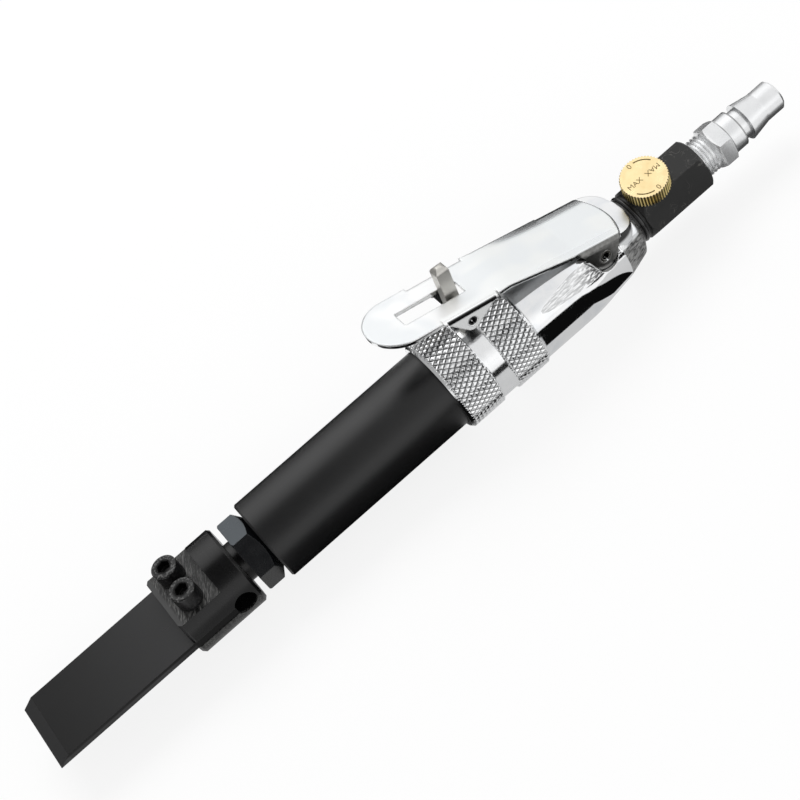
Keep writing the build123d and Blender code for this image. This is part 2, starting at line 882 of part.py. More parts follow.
# Torsion spring around the safety pin, with one leg by the catch and one under the plate
safety_coil_r = safety_pin_r + free_clear + safety_wire / 2
safety_y = catch_w / 2 + free_clear + safety_wire / 2
safety_frame = Plane(origin=(x_catch, safety_y, z_catch), x_dir=(1, 0, 0), z_dir=(0, 1, 0))
plate_leg = catch_drop - sheet_drop - safety_wire / 2
with BuildPart() as safety_spring:
    with BuildLine() as safety_line:
        coil_start = helix_point(safety_frame, safety_coil_r, safety_pitch, 0)[0]
        coil_end = helix_point(safety_frame, safety_coil_r, safety_pitch, safety_turns)[0]
        Line(coil_start + Vector(0, 0, safety_leg), coil_start)
        coil_path(safety_frame, safety_coil_r, safety_pitch, safety_turns)
        Line(coil_end, coil_end + Vector(0, 0, plate_leg))
    leg_end = coil_start + Vector(0, 0, safety_leg)
    with BuildSketch(Plane(origin=leg_end, z_dir=(0, 0, -1))):
        Circle(safety_wire / 2)
    sweep()
save(safety_spring, "safety_spring")
coil_gap("safety_spring", safety_frame, safety_coil_r, safety_pitch, safety_turns, safety_wire)

# Throttle pin with its seal, pushed down by the lever on to the valve's stem
pin_low = axis_z + valve_stem_r + running_clear
pin_high = z_pivot + lever_height(throttle_pin_ahead) - sheet_drop - pin_gap
pin_seal_z = axis_z + (air_bore + housing_r) / 2
with BuildPart() as throttle_pin:
    with Locations((x_throttle_pin, 0, pin_low)):
        Cylinder(throttle_pin_r, pin_high - pin_low, align=(Align.CENTER, Align.CENTER, Align.MIN))
    fillet(throttle_pin.edges().filter_by(GeomType.CIRCLE), throttle_pin_r - pin_flat)
    with BuildSketch(Plane.XY.offset(pin_seal_z - small_seal_wire)):
        with Locations((x_throttle_pin, 0)):
            Circle(2 * throttle_pin_r)
            Circle(throttle_pin_r - 2 * small_seal_wire, mode=Mode.SUBTRACT)
    extrude(amount=2 * small_seal_wire, mode=Mode.SUBTRACT)
save(throttle_pin, "throttle_pin")

with BuildPart() as throttle_pin_seal:
    pin_seal_plane = Plane(origin=(x_throttle_pin, 0, pin_seal_z))
    o_ring(pin_seal_plane, throttle_pin_r - small_seal_wire, small_seal_wire - press_clear)
save(throttle_pin_seal, "throttle_pin_seal")

with BuildPart() as tilt_valve:
    ring(x_seat, x_seat + valve_head_len, valve_head_r)
    ring(x_throttle_pin - valve_stem_past, x_seat, valve_stem_r)
save(tilt_valve, "tilt_valve")

with BuildPart() as valve_seat:
    ring(x_seat_front, x_seat, seat_bore - press_clear, seat_hole_r)
save(valve_seat, "valve_seat")

# Spring that holds the valve on its seat
x_valve_back = x_seat + valve_head_len
valve_room = x_inlet - x_valve_back - valve_wire - 2 * running_clear
valve_pitch = valve_room / valve_turns
valve_coil_r = valve_head_r - valve_wire
valve_start = x_valve_back + valve_wire / 2 + running_clear
valve_frame = Plane(origin=(valve_start, 0, axis_z), x_dir=(0, 1, 0), z_dir=(1, 0, 0))
with BuildPart() as valve_spring:
    with BuildLine() as valve_line:
        coil_path(valve_frame, valve_coil_r, valve_pitch, valve_turns)
    with BuildSketch(Plane(origin=valve_line.line @ 0, z_dir=valve_line.line % 0)):
        Circle(valve_wire / 2)
    sweep()
save(valve_spring, "valve_spring")
coil_gap("valve_spring", valve_frame, valve_coil_r, valve_pitch, valve_turns, valve_wire)

# Air regulator: hex body with a round neck, a spigot and the knob's stem bore
regulator_half = regulator_af / 2
regulator_corner = regulator_half / cos(pi / 6)
knob_angle = radians(regulator_turn + 90)
knob_up = (0, cos(knob_angle), sin(knob_angle))
x_socket = x_plug - plug_thread_hidden
x_neck_seal = x_neck + neck_len / 2
neck_seal_r = neck_r + neck_seal_show - seal_wire
stem_groove_r = stem_r - stem_groove
stem_pin_side = stem_groove_r + free_clear + stem_pin_r


def knob_plane(rise):
    """Plane across the regulator's stem, at a height above the tool's axis."""
    foot = Vector(x_knob, 0, axis_z) + Vector(*knob_up) * rise
    return Plane(origin=foot, x_dir=(1, 0, 0), z_dir=knob_up)


def stem_pin_bar(radius, mode):
    """Round bar beside the stem, from the hex's hidden side inwards."""
    outer_end = (regulator_corner - stem_pin_rise * tan(pi / 6)) - stem_pin_inset
    centre = knob_plane(stem_pin_rise).from_local_coords(Vector(stem_pin_side, outer_end, 0))
    inwards = knob_plane(0).from_local_coords(Vector(0, -1, 0))
    inwards = inwards - knob_plane(0).origin
    with BuildSketch(Plane(origin=centre, z_dir=inwards)) as outline:
        Circle(radius)
    extrude(outline.sketch, amount=stem_pin_len, mode=mode)


with BuildPart() as regulator_body:
    hexagon(x_regulator, x_plug, regulator_af, regulator_turn)
    turned(
        [
            (x_regulator, 0),
            (x_regulator, regulator_half),
            (x_regulator + regulator_chamfer, regulator_corner),
            (x_plug - regulator_chamfer, regulator_corner),
            (x_plug, regulator_corner - regulator_chamfer),
            (x_plug, 0),
        ],
        Mode.INTERSECT,
    )
    ring(x_neck, x_regulator, neck_r)
    ring(x_inlet, x_neck, inlet_r - press_clear)
    bored(x_inlet, x_socket, regulator_bore)
    bored(x_socket, x_plug, plug_thread_r + press_clear)
    groove_floor = neck_seal_r - seal_wire
    ring(x_neck_seal - seal_wire, x_neck_seal + seal_wire, 2 * neck_r, groove_floor, Mode.SUBTRACT)
    with BuildSketch(knob_plane(-stem_depth - free_clear)):
        Circle(stem_r + running_clear)
    extrude(amount=stem_depth + free_clear + regulator_af, mode=Mode.SUBTRACT)
    stem_pin_bar(stem_pin_r + press_clear, Mode.SUBTRACT)
save(regulator_body, "regulator_body")

with BuildPart() as neck_seal:
    o_ring(section_plane(x_neck_seal), neck_seal_r, seal_wire - press_clear)
save(neck_seal, "neck_seal")

# Brass knob with a straight-fluted rim, and its stem with a port across the air way
knob_low = regulator_half + knob_gap
tooth_step = pi / knob_teeth
rim_points = []
for tooth in range(knob_teeth):
    crest = 2 * tooth * tooth_step
    rim_points.append((knob_r * cos(crest), knob_r * sin(crest)))
    root = crest + tooth_step
    rim_points.append(((knob_r - knob_tooth) * cos(root), (knob_r - knob_tooth) * sin(root)))
with BuildPart() as regulator_knob:
    with BuildSketch(knob_plane(knob_low)):
        Circle(knob_r)
    extrude(amount=knob_h)
    chamfer(regulator_knob.edges(), knob_bevel)
    with BuildSketch(knob_plane(knob_low)):
        with BuildLine():
            Polyline(*rim_points, close=True)
        make_face()
    extrude(amount=knob_h, mode=Mode.INTERSECT)
    with BuildSketch(knob_plane(-stem_depth)):
        Circle(stem_r)
    extrude(amount=stem_depth + knob_low)
    with BuildSketch(section_plane(x_knob - 2 * stem_r)):
        Circle(stem_port_r)
    extrude(amount=4 * stem_r, mode=Mode.SUBTRACT)
    with BuildSketch(knob_plane(stem_pin_rise - stem_pin_r - free_clear)):
        Circle(stem_r + free_clear)
        Circle(stem_groove_r, mode=Mode.SUBTRACT)
    extrude(amount=2 * (stem_pin_r + free_clear), mode=Mode.SUBTRACT)
    with BuildSketch(knob_plane(stem_seal_rise - small_seal_wire)):
        Circle(stem_r + free_clear)
        Circle(stem_r - 2 * small_seal_wire, mode=Mode.SUBTRACT)
    extrude(amount=2 * small_seal_wire, mode=Mode.SUBTRACT)
save(regulator_knob, "regulator_knob")

with BuildPart() as stem_seal:
    o_ring(knob_plane(stem_seal_rise), stem_r - small_seal_wire, small_seal_wire - press_clear)
save(stem_seal, "stem_seal")

with BuildPart() as stem_pin:
    stem_pin_bar(stem_pin_r, Mode.ADD)
save(stem_pin, "stem_pin")

# Quick plug: thread, hex, collar, catch groove and nose
x_plug_hex = x_plug + plug_thread_show
x_plug_collar = x_plug_hex + plug_hex_len
x_plug_groove = x_plug_collar + plug_collar_len
x_plug_rim = x_plug_groove + plug_groove_len
x_plug_nose = x_plug_rim + plug_taper_len
x_end = x_plug_nose + plug_nose_len
plug_hex_corner = plug_hex_af / 2 / cos(pi / 6)
thread_root = plug_thread_r - plug_thread_depth
thread_turns = int(plug_thread_show / plug_pitch)
thread_points = []
for turn in range(thread_turns):
    x_turn = x_plug + (turn + 1) * plug_pitch
    thread_points.append((x_turn - 3 * plug_pitch / 4, thread_root))
    thread_points.append((x_turn - plug_pitch / 4, plug_thread_r))
with BuildPart() as quick_plug:
    hexagon(x_plug_hex, x_plug_collar, plug_hex_af, plug_turn)
    turned(
        [
            (x_plug_hex, 0),
            (x_plug_hex, plug_hex_af / 2),
            (x_plug_hex + plug_mouth, plug_hex_corner),
            (x_plug_collar - plug_mouth, plug_hex_corner),
            (x_plug_collar, plug_hex_af / 2),
            (x_plug_collar, 0),
        ],
        Mode.INTERSECT,
    )
    turned([
        (x_socket, 0),
        (x_socket, plug_thread_r),
        (x_plug, plug_thread_r),
        *thread_points,
        (x_plug_hex, thread_root),
        (x_plug_hex, 0),
    ])
    turned([
        (x_plug_collar, 0),
        (x_plug_collar, plug_collar_r),
        (x_plug_groove, plug_collar_r),
        (x_plug_groove, plug_groove_r),
        (x_plug_rim, plug_groove_r),
        (x_plug_rim, plug_rim_r),
        (x_plug_nose, plug_nose_r),
        (x_end - plug_mouth, plug_nose_r),
        (x_end, plug_nose_r - plug_mouth),
        (x_end, 0),
    ])
    bored(x_socket, x_end, plug_bore)
save(quick_plug, "quick_plug")
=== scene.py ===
"""Pneumatic scraper: finishes, knurl, dial marks, stage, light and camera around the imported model."""
from math import cos, pi, radians, sin

import bpy
from mathutils import Matrix, Vector


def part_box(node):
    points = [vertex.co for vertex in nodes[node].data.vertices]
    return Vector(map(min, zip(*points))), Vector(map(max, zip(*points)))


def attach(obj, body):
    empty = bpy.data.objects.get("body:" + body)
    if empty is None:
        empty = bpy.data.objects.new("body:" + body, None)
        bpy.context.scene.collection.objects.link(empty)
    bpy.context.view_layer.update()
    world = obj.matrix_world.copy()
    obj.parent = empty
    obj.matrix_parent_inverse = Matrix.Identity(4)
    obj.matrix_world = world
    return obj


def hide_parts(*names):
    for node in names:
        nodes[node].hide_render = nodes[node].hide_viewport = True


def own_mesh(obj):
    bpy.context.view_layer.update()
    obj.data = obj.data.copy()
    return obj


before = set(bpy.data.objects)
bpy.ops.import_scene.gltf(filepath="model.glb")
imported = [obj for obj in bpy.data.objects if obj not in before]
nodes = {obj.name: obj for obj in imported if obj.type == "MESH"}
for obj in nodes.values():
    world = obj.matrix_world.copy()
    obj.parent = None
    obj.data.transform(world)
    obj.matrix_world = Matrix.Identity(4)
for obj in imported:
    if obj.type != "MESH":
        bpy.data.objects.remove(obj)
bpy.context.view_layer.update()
mm = 0.001

# Blade, holder and screws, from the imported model
blade_low, blade_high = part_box("blade")
blade_bevel_x = blade_low.x + 4.2 * mm
holder_low, holder_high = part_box("blade_holder")
holder_front = holder_low.x
holder_r = holder_high.y
flat_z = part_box("spring_washers")[0].z
flat_rim_x = holder_front + 1.6 * mm
screws_low, screws_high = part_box("clamp_screws")
screw_head_r = (screws_high.x - screws_low.x) / 2
screw_x = (screws_low.x + screws_high.x) / 2
screw_y = screws_high.y - screw_head_r
screw_top = screws_high.z
socket_r = 2.45 * mm
socket_rim = 0.35 * mm

# Collar, and the long axis of the round pieces
collar_low, collar_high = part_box("knurled_collar")
collar_x = (collar_low.x + collar_high.x) / 2
collar_half = (collar_high.x - collar_low.x) / 2
collar_r = (collar_high.z - collar_low.z) / 2
axis_z = (collar_low.z + collar_high.z) / 2
collar_bevel = 1.0 * mm
groove_start = collar_low.x + 13.4 * mm
groove_end = collar_low.x + 18.8 * mm
groove_slope = 0.5 * mm
groove_r = collar_r - 0.8 * mm

# Housing and lever
cone_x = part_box("throttle_housing")[1].x - 9.9 * mm
facet_x = collar_high.x + 4.5 * mm
facet_lean = sin(radians(34.0))
boss_foot_z = axis_z + 3.0 * mm
lever_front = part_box("throttle_lever")[0].x
pivot_low, pivot_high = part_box("lever_pin")
lever_side = pivot_high.y
flange_x = (pivot_low.x + pivot_high.x) / 2 - 8.0 * mm
ear_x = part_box("safety_pin")[0].x + 3.0 * mm
ear_half = 8.4 * mm

# Regulator, knob and plug
neck_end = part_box("neck_seal")[1].x + 0.4 * mm
plug_hex_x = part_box("regulator_body")[1].x + 6.3 * mm
plug_corners = (plug_hex_x + 5.7 * mm, plug_hex_x + 10.5 * mm)
knob_low, knob_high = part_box("regulator_knob")
knob_x = (knob_low.x + knob_high.x) / 2
knob_r = (knob_high.x - knob_low.x) / 2
knob_lean = radians(12.6)
knob_up = Vector((0.0, -sin(knob_lean), cos(knob_lean)))
knob_side = Vector((0.0, cos(knob_lean), sin(knob_lean)))
knob_rise = 14.2 * mm
knob_face = Vector((knob_x, 0.0, axis_z)) + knob_up * knob_rise


class Value:
    """A socket in a finish; arithmetic on it adds Math nodes."""

    def __init__(self, finish, socket):
        self.finish = finish
        self.socket = socket

    def __add__(self, other):
        return self.finish.math("ADD", self, other)

    def __sub__(self, other):
        return self.finish.math("SUBTRACT", self, other)

    def __rsub__(self, other):
        return self.finish.math("SUBTRACT", other, self)

    def __mul__(self, other):
        return self.finish.math("MULTIPLY", self, other)

    def __pow__(self, other):
        return self.finish.math("POWER", self, other)

    def __abs__(self):
        return self.finish.math("ABSOLUTE", self)

    __radd__ = __add__
    __rmul__ = __mul__


# Colour sockets of a Mix node, which has a set of sockets for each kind of value
mix_first = 6
mix_second = 7
mix_result = 2


class Finish:
    """A node tree for one finish, or for the world."""

    def __init__(self, owner):
        owner.use_nodes = True
        self.owner = owner
        self.tree = owner.node_tree
        self.tree.nodes.clear()

    def node(self, kind, settings=None, values=None, output=0):
        """Add a node, with its settings first and then the values or links of its sockets."""
        made = self.tree.nodes.new(kind)
        for name, setting in (settings or {}).items():
            setattr(made, name, setting)
        for name, value in (values or {}).items():
            if isinstance(value, Value):
                self.tree.links.new(value.socket, made.inputs[name])
            else:
                made.inputs[name].default_value = value
        return Value(self, made.outputs[output]) if made.outputs else None

    def math(self, operation, first, second=0.0):
        """Add a Math node."""
        return self.node("ShaderNodeMath", {"operation": operation}, {0: first, 1: second})

    def vector(self, operation, first, second=(0.0, 0.0, 0.0), output="Vector"):
        """Add a Vector Math node; its output is a vector, or a number where output is "Value"."""
        return self.node("ShaderNodeVectorMath", {"operation": operation}, {0: first, 1: second}, output)

    def part(self, vector, letter):
        """The x, y or z of a vector."""
        return self.node("ShaderNodeSeparateXYZ", None, {0: vector}, "xyz".index(letter))

    def place(self):
        """Position in metres, in the frame that the piece was made in."""
        return self.node("ShaderNodeTexCoord", output="Object")

    def axis(self, letter):
        """The x, y or z of that position."""
        return self.part(self.place(), letter)

    def from_axis(self):
        """Distance from the tool's long axis."""
        return (self.axis("y") ** 2 + (self.axis("z") - axis_z) ** 2) ** 0.5

    def flat_normal(self):
        """Normal of the face itself, with no smoothing."""
        return self.node("ShaderNodeNewGeometry", output="True Normal")

    def up(self):
        """How far a face looks up: 1 on level faces, 0 on upright ones, -1 underneath."""
        return self.part(self.flat_normal(), "z")

    def noise(self, size, detail=2.0, stretch=(1.0, 1.0, 1.0), turn=(0.0, 0.0, 0.0), warp=0.0):
        """Soft noise with features of about the given size in metres, longer along a stretched axis."""
        scale = [1.0 / (size * length) for length in stretch]
        turned = self.node("ShaderNodeMapping", None, {"Vector": self.place(), "Rotation": turn})
        spot = self.vector("MULTIPLY", turned, scale)
        values = {"Vector": spot, "Scale": 1.0, "Detail": detail, "Distortion": warp}
        return self.node("ShaderNodeTexNoise", None, values)

    def ramp(self, value, low, high, start=0.0, end=1.0):
        """Ease a value from start to end as it goes from low to high."""
        values = {"Value": value, "From Min": low, "From Max": high, "To Min": start, "To Max": end}
        return self.node("ShaderNodeMapRange", {"interpolation_type": "SMOOTHSTEP"}, values)

    def blend(self, share, first, second):
        """Mix two colours, given as (r, g, b) or as sockets."""
        first, second = [c if isinstance(c, Value) else (*c, 1.0) for c in (first, second)]
        values = {0: share, mix_first: first, mix_second: second}
        return self.node("ShaderNodeMix", {"data_type": "RGBA"}, values, mix_result)

    def bump(self, height, depth, normal=None):
        """Normal of a surface with that height, from 0 to 1, times a depth in metres."""
        values = {"Height": height, "Distance": depth, "Strength": 1.0}
        if normal is not None:
            values["Normal"] = normal
        return self.node("ShaderNodeBump", None, values)

    def rounded(self, radius):
        """Normal with softened edges."""
        return self.node("ShaderNodeBevel", {"samples": 4}, {"Radius": radius})

    def edges(self, radius):
        """1 along the sharp edges and 0 on the flats."""
        facing = self.vector("DOT_PRODUCT", self.rounded(radius), self.flat_normal(), "Value")
        return self.ramp(facing, 0.995, 0.9)

    def surface(self, **values):
        """Close the tree with the main shader; names are the sockets' names with underscores."""
        sockets = {name.replace("_", " "): value for name, value in values.items()}
        shader = self.node("ShaderNodeBsdfPrincipled", None, sockets)
        self.node("ShaderNodeOutputMaterial", None, {"Surface": shader})
        return self.owner


def new_finish(name):
    """An empty finish of that name."""
    return Finish(bpy.data.materials.new(name))


def satin_black_barrel():
    """Satin black coat with a fine grain."""
    made = new_finish("satin_black_barrel")
    grain = made.noise(0.25 * mm, 3.0)
    cloud = made.noise(14 * mm)
    tone = made.blend(cloud, (0.0045, 0.0045, 0.0047), (0.0065, 0.0065, 0.0068))
    return made.surface(
        Base_Color=tone,
        Roughness=0.33 + 0.08 * cloud,
        Specular_IOR_Level=0.54,
        Normal=made.bump(grain, 0.004 * mm),
    )


def black_oxide_blade():
    """Black oxide, paler towards the holder, with a ground bevel and dull sheared sides that carry
    painted shade.
    """
    made = new_finish("black_oxide_blade")
    x = made.axis("x")
    cloud = made.noise(22 * mm, 3.0)
    lines = made.noise(0.3 * mm, 2.0, (60.0, 1.0, 1.0))
    ground = made.ramp(x, blade_bevel_x + 0.1 * mm, blade_bevel_x - 0.1 * mm)
    worn = made.edges(0.35 * mm)
    heel = made.ramp(x, blade_low.x + 6.0 * mm, holder_front + 1.1 * mm) * (0.75 + 0.5 * cloud)
    tone = made.blend(heel, (0.0022, 0.0022, 0.0023), (0.0105, 0.0105, 0.0112))
    tone = made.blend(ground * 0.7, tone, (0.02, 0.02, 0.0205))
    tone = made.blend(worn * 0.3, tone, (0.045, 0.045, 0.045))
    # Painted shade: the upright sides go near black, except low down in front of the holder
    lower_side = made.ramp(made.axis("z"), blade_high.z - 0.9 * mm, blade_high.z - 1.2 * mm)
    lower_side = lower_side * made.ramp(x, holder_front + 0.5 * mm, holder_front - 0.5 * mm)
    dull_and_shaded_sides = made.ramp(abs(made.up()), 0.6, 0.3) * (1.0 - lower_side)
    tone = made.blend(dull_and_shaded_sides, tone, (0.0006, 0.0006, 0.0006))
    return made.surface(
        Base_Color=tone,
        Roughness=0.28 + 0.1 * cloud - 0.05 * lines + 0.4 * dull_and_shaded_sides,
        Specular_IOR_Level=0.34,
        Normal=made.bump(lines, 0.003 * mm, made.rounded(0.3 * mm)),
    )


def machined_black_holder():
    """Turned black steel with slanting cutter strokes on the milled flat and a rough sawn slot."""
    made = new_finish("machined_black_holder")
    z = made.axis("z")
    on_flat = made.ramp(made.up(), 0.97, 0.995) * made.ramp(abs(z - flat_z), 0.12 * mm, 0.05 * mm)
    rim = made.ramp(made.axis("x"), flat_rim_x + 0.3 * mm, flat_rim_x - 0.3 * mm)
    strokes = made.noise(0.34 * mm, 3.0, (14.0, 1.0, 1.0), (0.0, 0.0, radians(-62)), 1.8)
    rings = made.noise(0.3 * mm, 2.0, (1.0, 60.0, 60.0))
    grit = made.noise(0.5 * mm, 3.0)
    cloud = made.noise(6 * mm, 3.0)
    worn = made.edges(0.2 * mm)
    tone = made.blend(cloud, (0.002, 0.002, 0.0021), (0.004, 0.004, 0.0042))
    milled = made.blend(made.ramp(strokes, 0.48, 0.66), (0.003, 0.003, 0.003), (0.14, 0.14, 0.136))
    milled = made.blend(rim, milled, (0.035, 0.035, 0.035))
    tone = made.blend(on_flat, tone, milled)
    outside = made.ramp(made.from_axis(), holder_r - 0.9 * mm, holder_r - 0.6 * mm)
    under_slot = made.ramp(z, blade_low.z + 0.4 * mm, blade_low.z - 0.4 * mm)
    sawn = outside * under_slot * made.ramp(grit, 0.4, 0.62)
    tone = made.blend(sawn * 0.8, tone, (0.06, 0.06, 0.057))
    tone = made.blend(worn * 0.3 * cloud, tone, (0.05, 0.05, 0.05))
    height = strokes * on_flat * (1.0 - rim) + rings * 0.2
    return made.surface(
        Base_Color=tone,
        Roughness=0.22 + 0.1 * cloud + 0.15 * on_flat,
        Specular_IOR_Level=0.45,
        Normal=made.bump(height, 0.04 * mm, made.rounded(0.2 * mm)),
    )


def black_nut():
    """Black oxide with rubbed corners, a painted bluish sheen on the top flat and painted light on the
    low flats.
    """
    made = new_finish("black_nut")
    cloud = made.noise(3 * mm, 4.0)
    grain = made.noise(0.2 * mm, 2.0)
    worn = made.edges(0.4 * mm)
    up = made.up()
    tone = made.blend(cloud, (0.003, 0.0033, 0.004), (0.006, 0.0065, 0.0075))
    # Painted light: a bluish sheen on the top flat, and paler grey on the flats that face down
    tone = made.blend(made.ramp(up, 0.9, 0.97), tone, (0.066, 0.076, 0.085))
    tone = made.blend(made.ramp(up, 0.2, -0.2), tone, (0.018, 0.018, 0.018))
    tone = made.blend(worn * (0.2 + 0.6 * cloud), tone, (0.055, 0.056, 0.058))
    return made.surface(
        Base_Color=tone,
        Roughness=0.2 + 0.12 * cloud,
        Specular_IOR_Level=0.3,
        Normal=made.bump(grain, 0.003 * mm, made.rounded(0.3 * mm)),
    )


def black_screws():
    """Pitted black heads with chipped rims, with painted shade in and around the sockets."""
    made = new_finish("black_screws")
    from_screw = ((made.axis("x") - screw_x) ** 2 + (abs(made.axis("y")) - screw_y) ** 2) ** 0.5
    on_top = made.ramp(made.axis("z"), screw_top - 0.7 * mm, screw_top - 0.3 * mm)
    socket = made.ramp(from_screw, socket_r + socket_rim, socket_r)
    cloud = made.noise(3 * mm, 4.0)
    pits = made.noise(0.7 * mm, 4.0)
    chips = made.ramp(pits, 0.52, 0.6)
    worn = made.edges(0.45 * mm)
    tone = made.blend(cloud, (0.0015, 0.0015, 0.0016), (0.005, 0.005, 0.0052))
    tone = made.blend(on_top * chips * 0.8, tone, (0.14, 0.14, 0.137))
    tone = made.blend(chips * 0.35, tone, (0.03, 0.03, 0.031))
    tone = made.blend(worn * (0.2 + 0.6 * chips), tone, (0.06, 0.06, 0.06))
    # Painted shade inside the sockets, fading out over their rims
    tone = made.blend(socket, tone, (0.0006, 0.0006, 0.0006))
    return made.surface(
        Base_Color=tone,
        Roughness=0.24 + 0.12 * cloud + 0.2 * chips + 0.4 * socket * on_top,
        Specular_IOR_Level=0.4,
        Normal=made.bump(pits, 0.16 * mm, made.rounded(0.45 * mm)),
    )


def scuffed_black_regulator():
    """Matt black with specks and fine scratches in patches, and a smooth neck."""
    made = new_finish("scuffed_black_regulator")
    cloud = made.noise(9 * mm, 3.0)
    grain = made.noise(0.18 * mm, 2.0)
    specks = made.ramp(made.noise(0.6 * mm, 1.0), 0.68, 0.75)
    patch = made.ramp(made.noise(5 * mm), 0.42, 0.6)
    hair = abs(made.noise(4.5 * mm, 1.0, turn=(0.3, 0.5, 0.9), warp=1.6) - 0.5)
    scratch = made.ramp(hair, 0.014, 0.003) * patch
    worn = made.edges(0.4 * mm)
    neck = made.ramp(made.axis("x"), neck_end, neck_end - 0.3 * mm)
    tone = made.blend(cloud, (0.005, 0.005, 0.005), (0.009, 0.009, 0.0086))
    tone = made.blend(specks * patch * 0.5 + scratch * 0.45, tone, (0.13, 0.125, 0.115))
    tone = made.blend(worn * (0.1 + 0.3 * cloud), tone, (0.05, 0.05, 0.05))
    return made.surface(
        Base_Color=tone,
        Roughness=0.36 + 0.12 * cloud - 0.26 * neck,
        Specular_IOR_Level=0.42,
        Normal=made.bump(grain + scratch, 0.006 * mm, made.rounded(0.35 * mm)),
    )


def housing_chrome():
    """Polished plate with a faint ripple, brushed facets with painted dark reflection streaks on their
    rear, lower part, painted shade on the boss's wall, and a rougher cast cone at the rear.
    """
    made = new_finish("housing_chrome")
    x = made.axis("x")
    z = made.axis("z")
    up = made.up()
    smudge = made.ramp(made.noise(9 * mm, 3.0, warp=0.6), 0.42, 0.7)
    streaks = made.noise(0.7 * mm, 3.0, (7.0, 1.0, 1.0), warp=0.5)
    swell = made.noise(8 * mm, 1.0)
    strokes = made.noise(0.5 * mm, 3.0, (20.0, 1.0, 1.0), (0.0, 0.1, 0.12), 0.5)
    tail = made.ramp(x, cone_x, cone_x + 0.5 * mm)
    satin = made.ramp(x, cone_x + 2.5 * mm, cone_x + 4.5 * mm)
    boss_wall = tail * made.ramp(z, boss_foot_z, boss_foot_z + 0.6 * mm) * made.ramp(abs(up), 0.12, 0.05)
    boss_shade = boss_wall * made.ramp(z, boss_foot_z + 3.8 * mm, boss_foot_z + 5.2 * mm)
    cone = tail * made.ramp(up, 0.44, 0.3) * (1.0 - boss_wall)
    facet = made.ramp(abs(up - facet_lean), 0.014, 0.007) * made.ramp(x, cone_x, cone_x - 0.5 * mm)
    facet = facet * made.ramp(x, facet_x, facet_x + 0.5 * mm)
    # Painted dark reflection streaks on the rear, lower part of the facets
    dark_reflection_streaks = made.ramp(x, cone_x - 20 * mm, cone_x - 9 * mm)
    dark_reflection_streaks = dark_reflection_streaks * made.ramp(z, axis_z + 11.1 * mm, axis_z + 7.6 * mm) * made.ramp(strokes, 0.64, 0.44)
    cast = made.blend(made.ramp(streaks, 0.32, 0.66), (0.08, 0.08, 0.08), (0.42, 0.42, 0.415))
    brushed = made.blend(made.ramp(strokes, 0.34, 0.66), (0.5, 0.505, 0.51), (0.81, 0.815, 0.82))
    brushed = made.blend(dark_reflection_streaks, brushed, (0.035, 0.035, 0.035))
    tone = made.blend(smudge, (0.92, 0.925, 0.93), (0.83, 0.85, 0.875))
    tone = made.blend(cone, tone, cast)
    tone = made.blend(facet, tone, brushed)
    tone = made.blend(boss_shade, tone, (0.07, 0.07, 0.07))
    return made.surface(
        Base_Color=tone,
        Metallic=1.0,
        Roughness=0.05 + 0.05 * smudge + 0.2 * cone + 0.25 * satin + 0.1 * facet,
        Normal=made.bump(streaks * cone + swell, 0.03 * mm, made.rounded(0.45 * mm)),
    )


def lever_chrome():
    """Satin plate over pressed sheet with softly rolled sides, dull on the inside, with painted shade
    underneath that deepens behind the slot, painted shade on the rear flange and a painted dark
    reflection along the bend over the ear.
    """
    made = new_finish("lever_chrome")
    x = made.axis("x")
    y = made.axis("y")
    up = made.up()
    inside = made.ramp(up, -0.1, -0.5)
    top = made.ramp(up, 0.7, 0.9)
    flange = made.ramp(x, flange_x - 1.0 * mm, flange_x + 1.0 * mm) * made.ramp(abs(up), 0.92, 0.84)
    # Mask of the bend over the ear, which gets a painted dark reflection
    dark_bend_reflection = made.ramp(up, 0.63, 0.51) * made.ramp(up, 0.012, 0.04)
    dark_bend_reflection = dark_bend_reflection * made.ramp(abs(x - ear_x), ear_half + 0.2 * mm, ear_half - 0.2 * mm)
    smudge = made.ramp(made.noise(15 * mm, 1.0, warp=0.5), 0.42, 0.62)
    dirt_and_shade = made.noise(1.1 * mm, 4.0)
    swell = made.noise(24 * mm, 1.0)
    to_rear = made.ramp(x, lever_front + 12.5 * mm, lever_front + 52.5 * mm)
    behind_slot = made.ramp(x, lever_front + 34.5 * mm, lever_front + 44.5 * mm)
    tone = made.blend(to_rear, (0.945, 0.95, 0.95), (0.865, 0.88, 0.875))
    tone = made.blend(smudge * top * 0.8, tone, (0.815, 0.84, 0.855))
    # Painted shade underneath, deeper behind the slot, in patches
    under = made.blend(behind_slot, (0.8, 0.8, 0.8), (0.42, 0.42, 0.42))
    tone = made.blend(inside * (0.8 + 0.4 * (dirt_and_shade - 0.5)), tone, under)
    # Painted shade on the rear flange, in patches
    tone = made.blend(flange * (0.7 + 0.25 * dirt_and_shade), tone, (0.05, 0.046, 0.04))
    tone = made.blend(dark_bend_reflection, tone, (0.012, 0.012, 0.012))
    roll = made.ramp(abs(y), lever_side - 5.6 * mm, lever_side - 2.0 * mm)
    roll = top * roll * made.ramp(x, lever_front + 44.5 * mm, lever_front + 60.5 * mm)
    lean = made.node("ShaderNodeCombineXYZ", None, {"Y": roll * y * (1.0 / lever_side)})
    rolled = made.vector("NORMALIZE", made.vector("ADD", made.rounded(0.9 * mm), lean))
    flat = top * (1.0 - made.edges(0.9 * mm)) * (1.0 - 0.8 * roll)
    return made.surface(
        Base_Color=tone,
        Metallic=1.0 - 0.35 * flat,
        Roughness=0.08 + 0.3 * flat + 0.25 * inside + 0.2 * flange,
        Normal=made.bump(swell, 0.04 * mm, rolled),
    )


